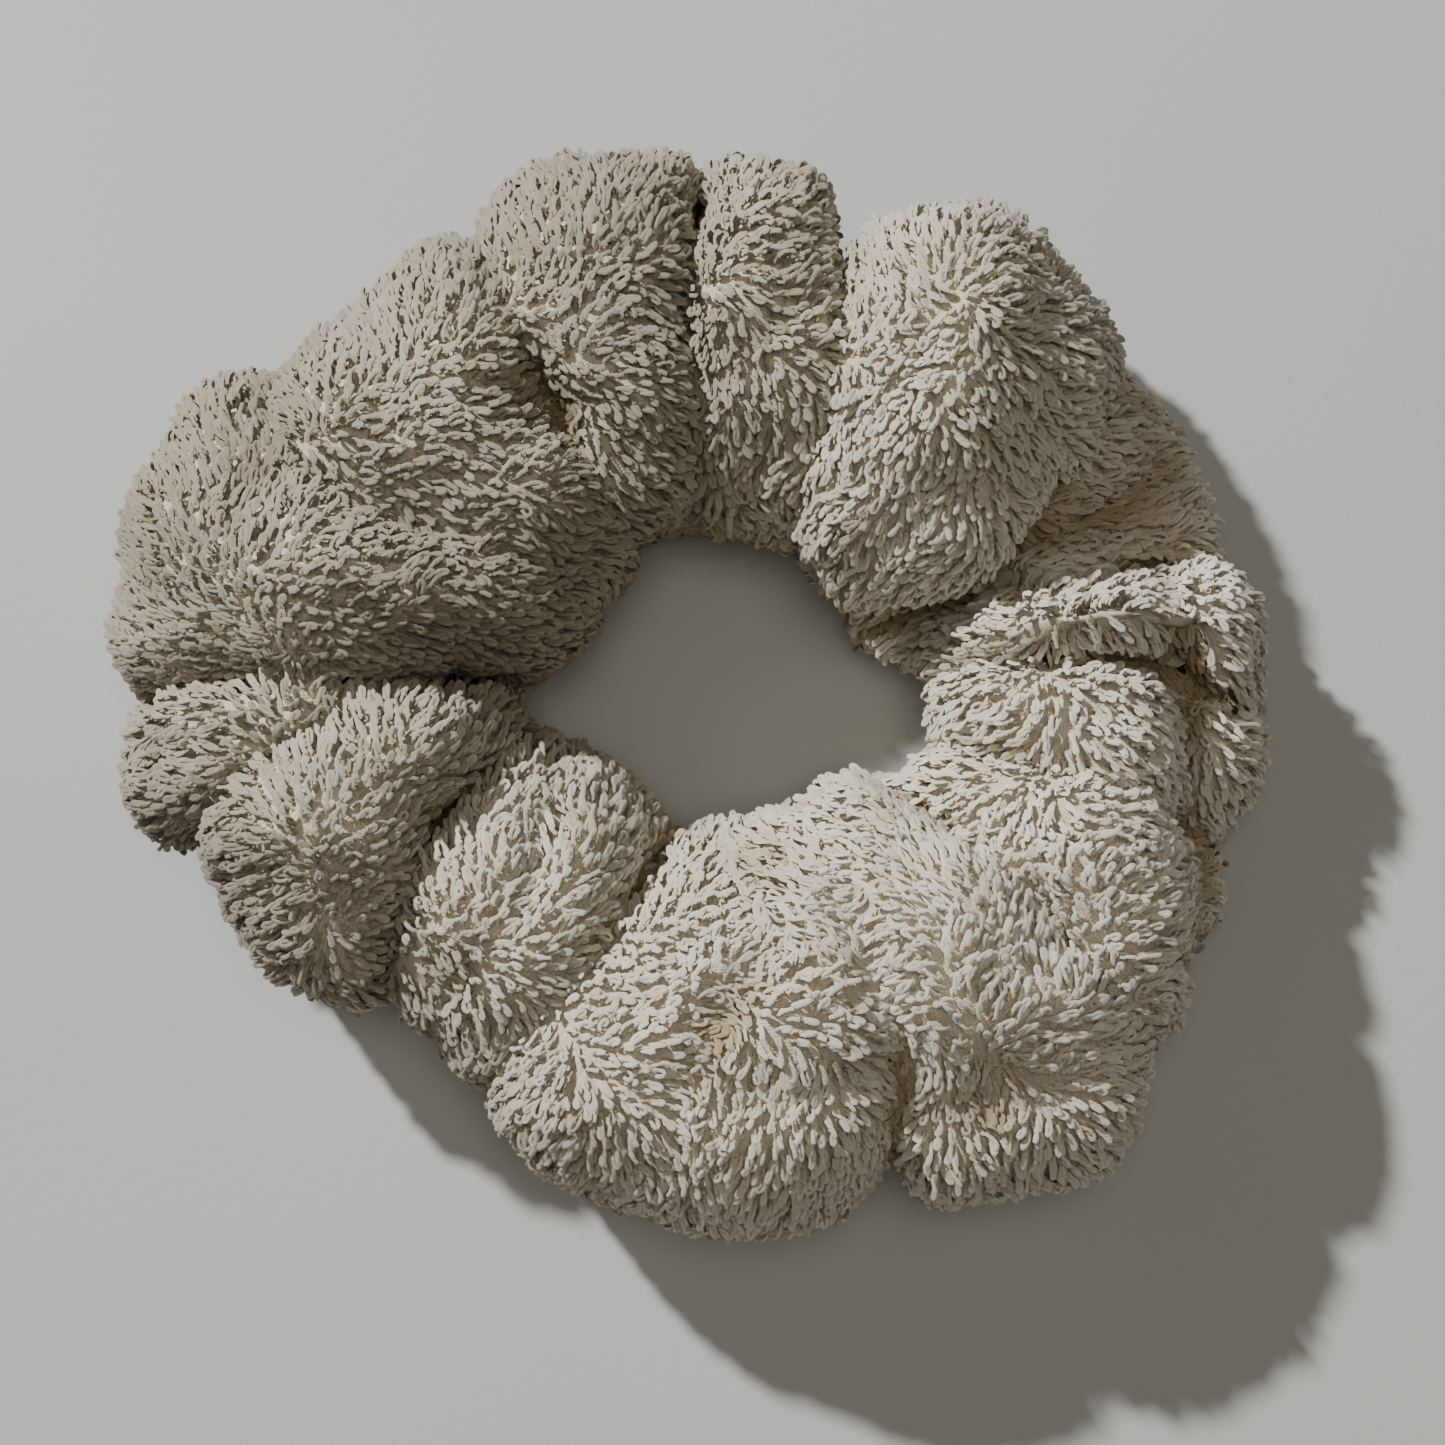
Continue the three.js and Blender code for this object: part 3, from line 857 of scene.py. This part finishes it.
def spaced_out(points, spacing):
    """Indices of points that keep `spacing` from every earlier one that was kept."""
    cells = {}
    kept = []
    cell_of = np.floor(points / spacing).astype(int).tolist()
    places = points.tolist()
    near = [(i, j, k) for i in (-1, 0, 1) for j in (-1, 0, 1) for k in (-1, 0, 1)]
    least = spacing * spacing
    for index, ((cx, cy, cz), (x, y, z)) in enumerate(zip(cell_of, places)):
        crowded = False
        for i, j, k in near:
            for other in cells.get((cx + i, cy + j, cz + k), ()):
                u, v, w = places[other]
                if (x - u) ** 2 + (y - v) ** 2 + (z - w) ** 2 < least:
                    crowded = True
                    break
            if crowded:
                break
        if not crowded:
            cells.setdefault((cx, cy, cz), []).append(index)
            kept.append(index)
    return np.array(kept)


def nap_direction(points, normals):
    """The unit direction, along the cloth, that the pile is combed in at each point."""
    marks = np.array(NAP, dtype=float)
    plan = points[:, None, :2] - HOLE_CENTRE - marks[None, :, :2]
    squared = (plan**2).sum(axis=2)
    pull = np.exp(-squared / (2 * NAP_REACH**2)) + 1e-7 / (squared + 1)
    lie = np.radians(marks[:, 2])
    turned = np.arctan2(pull @ np.sin(lie), pull @ np.cos(lie))
    turned += 0.45 * soft_noise(points, 4.5, 21) + rng.normal(0, 0.28, len(points))
    way = np.stack([np.cos(turned), np.sin(turned), np.full(len(points), -0.25)], axis=1)
    way -= normals * (way * normals).sum(axis=1, keepdims=True)
    return unit(way)


# A loop's yarn, at thirteen points from one foot over the tip to the other: how far up the
# loop each is, which strand it is on, and how far its strand is from the loop's middle.
LOOP_STEPS = np.array([-0.06, 0.2, 0.42, 0.62, 0.8, 0.94, 1, 0.94, 0.8, 0.62, 0.42, 0.2, -0.06])
STRAND_SIDE = np.array([1, 1, 1, 1, 1, 0.72, 0, -0.72, -1, -1, -1, -1, -1])
STRAND_GAP = np.array(
    [0.3, 0.2, 0.17, 0.18, 0.2, 0.22, 0.25, 0.22, 0.2, 0.18, 0.17, 0.2, 0.3]
)
WIDE_SHARE, WIDER_BY = 0.12, 0.7  # some loops gape
YARN_SIDES = 4
FLUFF = 0.7  # the fuzz on the yarn shades it partly as the cloth under it faces


def loop_paths(feet, normals, nap, exposure):
    """The yarn's centreline in each loop, and the plane each loop lies in."""
    count = len(feet)
    aside = np.cross(normals, nap)
    length = LOOP_LENGTH * rng.uniform(0.82, 1.12, count) * (0.6 + 0.4 * exposure)
    start = np.radians(rng.normal(26, 10, count) + 30 * (1 - exposure))
    end = np.radians(np.clip(rng.normal(74, 12, count) + 12 * (1 - exposure), 40, 96))
    step = LOOP_STEPS[None, :]
    bend = (end - start)[:, None]
    lean = start[:, None] + bend * step
    up = (np.sin(lean) - np.sin(start)[:, None]) / bend
    over = (np.cos(start)[:, None] - np.cos(lean)) / bend
    drift = rng.normal(0, 0.14, count)[:, None] * step**2
    axis = (
        up[..., None] * normals[:, None]
        + over[..., None] * nap[:, None]
        + drift[..., None] * aside[:, None]
    ) * length[:, None, None]
    forward = np.cos(lean)[..., None] * nap[:, None] - np.sin(lean)[..., None] * normals[:, None]
    twist = rng.uniform(0, np.pi, count)[:, None]
    twist = twist + rng.uniform(2.2, 4.4, count)[:, None] * np.minimum(step / 0.75, 1)
    side = np.cos(twist)[..., None] * aside[:, None] + np.sin(twist)[..., None] * forward
    plane = np.cos(twist)[..., None] * forward - np.sin(twist)[..., None] * aside[:, None]
    openness = rng.uniform(0.75, 1.25, count)
    openness = openness + (rng.uniform(size=count) < WIDE_SHARE) * WIDER_BY
    offset = side * (STRAND_SIDE * STRAND_GAP * openness[:, None])[..., None]
    path = feet[:, None] + axis + offset
    path[..., 2] = np.maximum(path[..., 2], YARN_RADIUS + 0.03)
    return path, plane


def yarn_tubes(path, plane):
    """Rings of points round each loop's yarn, and the way each point faces."""
    tangent = unit(np.gradient(path, axis=1))
    across = unit(plane - tangent * (plane * tangent).sum(axis=2, keepdims=True))
    third = np.cross(tangent, across)
    turn = (np.arange(YARN_SIDES) + 0.5) * 2 * np.pi / YARN_SIDES
    thickness = YARN_RADIUS * rng.uniform(0.88, 1.12, len(path))[:, None, None, None]
    ring = (
        np.cos(turn)[None, None, :, None] * across[:, :, None]
        + np.sin(turn)[None, None, :, None] * third[:, :, None]
    )
    return path[:, :, None] + ring * thickness, ring


def loop_faces(count):
    """Faces of `count` yarn tubes, each closed at both feet."""
    steps = len(LOOP_STEPS)
    one = tube_faces(steps, YARN_SIDES, inward=True)
    caps = np.array([[0, 1, 2, 3], [3, 2, 1, 0]])
    caps[1] += (steps - 1) * YARN_SIDES
    one = np.concatenate([one, caps])
    starts = np.arange(count) * steps * YARN_SIDES
    return (starts[:, None, None] + one[None]).reshape(-1, 4), one


def loop_uvs(count, one):
    """Each loop's own cell of one shared map, and its yarn's own coordinates."""
    steps = len(LOOP_STEPS)
    along = one // YARN_SIDES / (steps - 1)
    around = (one % YARN_SIDES) / YARN_SIDES
    crosses_seam = np.ptp(one % YARN_SIDES, axis=1) == YARN_SIDES - 1
    last_column = (one % YARN_SIDES == 0) & crosses_seam[:, None]
    around = np.where(last_column, 1.0, around)
    local = np.stack([along, around], axis=-1)
    across = math.ceil(math.sqrt(count))
    cell = np.stack([np.arange(count) % across, np.arange(count) // across], axis=1)
    baked = (cell[:, None, None] + 0.06 + 0.88 * local[None]) / across
    yarn = np.broadcast_to(local * [24, 4], (count, *local.shape))
    return baked.reshape(-1, 2), yarn.reshape(-1, 2)


def pile_piece(name, index, feet, normals, nap, place, tucked, material):
    """Loops on one side of the crease after fold `index`; `index` is not used."""
    exposure = np.clip(np.abs(place - 0.5) / 0.28, 0, 1)
    path, plane = loop_paths(feet, normals, nap, exposure)
    tubes, facing = yarn_tubes(path, plane)
    faces, one = loop_faces(len(feet))
    piece = make_mesh(name, tubes.reshape(-1, 3), faces, material)
    soft = unit(facing * (1 - FLUFF) + normals[:, None, None] * FLUFF)
    piece.data.normals_split_custom_set_from_vertices(soft.reshape(-1, 3))
    baked, yarn = loop_uvs(len(feet), one)
    add_uv(piece, "yarn", yarn)
    add_uv(piece, "OFBake", baked)
    points_per_loop = len(LOOP_STEPS) * YARN_SIDES
    add_values(piece, "tint", np.repeat(rng.uniform(size=len(feet)), points_per_loop))
    # How far up its loop each point is; the material paints shade towards the feet by it.
    rise = np.tile(np.repeat(np.clip(LOOP_STEPS, 0, 1), YARN_SIDES), len(feet))
    add_values(piece, "rise", rise)
    # Painted shade: a share from 1 on the pile's lightest side to 0 on the far side, with a little
    # random unevenness, by which the material darkens the pile.
    way = np.arctan2(feet[:, 1] - HOLE_CENTRE[1], feet[:, 0] - HOLE_CENTRE[0])
    painted_side_light = 0.5 + 0.5 * np.cos(way - PAINTED_LIGHTEST_WAY) + 0.12 * soft_noise(feet, 16, 31)
    add_values(piece, "painted_side_light", np.repeat(painted_side_light, points_per_loop))
    # Painted shade: the material paints loops deep in creases browner and darker by this.
    add_values(piece, "tucked", np.repeat(tucked, points_per_loop))
    bend_at_crease(piece)
    return piece


def inside():
    """What the cover hides: the band, the seam's edges and the closing. Returns the cloth."""
    cloth_look, elastic_look, thread_look = cloth_material(), elastic_material(), thread_material()
    for index in range(COUNT):
        band_piece(index, elastic_look)
    band_lap(elastic_look)
    lap_thread(thread_look)
    closing_thread(thread_look)
    seams = [seam_piece(index, cloth_look, thread_look) for index in range(COUNT)]
    return cloth_look, seams, turned_in_end(cloth_look)


def cover():
    """The cloth and its pile, with all that they hide."""
    cloth_look, seams, hem = inside()
    pile_look = pile_material()
    points, normals, row, tucked = candidate_feet(CANDIDATES)
    kept = spaced_out(points, LOOP_SPACING)
    points, normals, row, tucked = points[kept], normals[kept], row[kept], tucked[kept]
    nap = nap_direction(points, normals)
    along = (row - ROWS_PER_FOLD / 2) / ROWS_PER_FOLD % COUNT
    cloths = [cloth_piece(index, cloth_look) for index in range(COUNT)]
    for index, (cloth, area) in enumerate(cloths):
        parts = [seams[index]] + [hem] * (index == CLOSING_CREASE)
        for side, start in (("before", 0), ("after", 0.5)):
            mine = np.floor(along * 2).astype(int) == 2 * index + (start > 0)
            name = f"cover_pile_{index + 1:02d}_{side}_crease"
            here = (points[mine], normals[mine], nap[mine], along[mine] - index, tucked[mine])
            parts.append(pile_piece(name, index, *here, pile_look))


# ---------- The room ----------

FLOOR_REACH, FLOOR_CELLS = 1500, 8
CAMERA_TARGET = (3.34, -4.05, 16)
CAMERA_ELEVATION = 84
CAMERA_DISTANCE = 300
CAMERA_LENS = 74.8


def camera():
    """Looks down on the ring from the front, a little off straight above."""
    tilt = math.radians(CAMERA_ELEVATION)
    back = Vector((0, -math.cos(tilt), math.sin(tilt)))
    data = bpy.data.cameras.new("camera")
    data.lens = CAMERA_LENS
    made = bpy.data.objects.new("camera", data)
    made.location = (Vector(CAMERA_TARGET) + back * CAMERA_DISTANCE) * MM
    made.rotation_mode = "QUATERNION"
    made.rotation_quaternion = (-back).to_track_quat("-Z", "Y")
    bpy.context.scene.collection.objects.link(made)
    bpy.context.scene.camera = made


def floor():
    """A level sheet of pale paper that reaches well past the view."""
    side = np.linspace(-FLOOR_REACH, FLOOR_REACH, FLOOR_CELLS + 1)
    x, y = np.meshgrid(side, side, indexing="ij")
    points = np.stack([x, y, np.zeros_like(x)], axis=-1).reshape(-1, 3)
    row, column = np.meshgrid(np.arange(FLOOR_CELLS), np.arange(FLOOR_CELLS), indexing="ij")
    corner = row * (FLOOR_CELLS + 1) + column
    ahead = corner + FLOOR_CELLS + 1
    faces = np.stack([corner, ahead, ahead + 1, corner + 1], axis=-1).reshape(-1, 4)
    make_mesh("floor", points, faces, floor_material())


def lamp(name, way, distance, size, power, colour):
    """A round soft light that shines at the ring from `way`."""
    data = bpy.data.lights.new(name, "AREA")
    data.shape = "DISK"
    data.size = size
    data.energy = power
    data.color = colour
    made = bpy.data.objects.new(name, data)
    direction = Vector(way).normalized()
    made.location = direction * distance
    made.rotation_mode = "QUATERNION"
    made.rotation_quaternion = (-direction).to_track_quat("-Z", "Y")
    bpy.context.scene.collection.objects.link(made)


def lighting():
    """A small key light high at the upper left, a weak one overhead, and a dim room."""
    lamp("key", (-0.70, 0.71, 0.78), 1.2, 0.06, 19.5, (1.0, 0.99, 0.96))
    lamp("overhead", (0.05, 0.0, 1), 1.1, 0.5, 2.1, (1.0, 0.92, 0.78))
    world = bpy.data.worlds.new("studio")
    world.use_nodes = True
    background = world.node_tree.nodes["Background"]
    background.inputs["Color"].default_value = (1.0, 0.94, 0.84, 1)
    background.inputs["Strength"].default_value = 0.08
    backdrop = add_node(
        world.node_tree, "ShaderNodeBackground", Color=(0.9, 0.9, 0.88, 1), Strength=0.5
    )
    seen = add_node(world.node_tree, "ShaderNodeMixShader")
    straight = add_node(world.node_tree, "ShaderNodeLightPath").outputs["Is Camera Ray"]
    world.node_tree.links.new(straight, seen.inputs["Fac"])
    world.node_tree.links.new(background.outputs["Background"], seen.inputs[1])
    world.node_tree.links.new(backdrop.outputs["Background"], seen.inputs[2])
    surface = world.node_tree.nodes["World Output"].inputs["Surface"]
    world.node_tree.links.new(seen.outputs["Shader"], surface)
    bpy.context.scene.world = world


camera()
floor()
lighting()
cover()
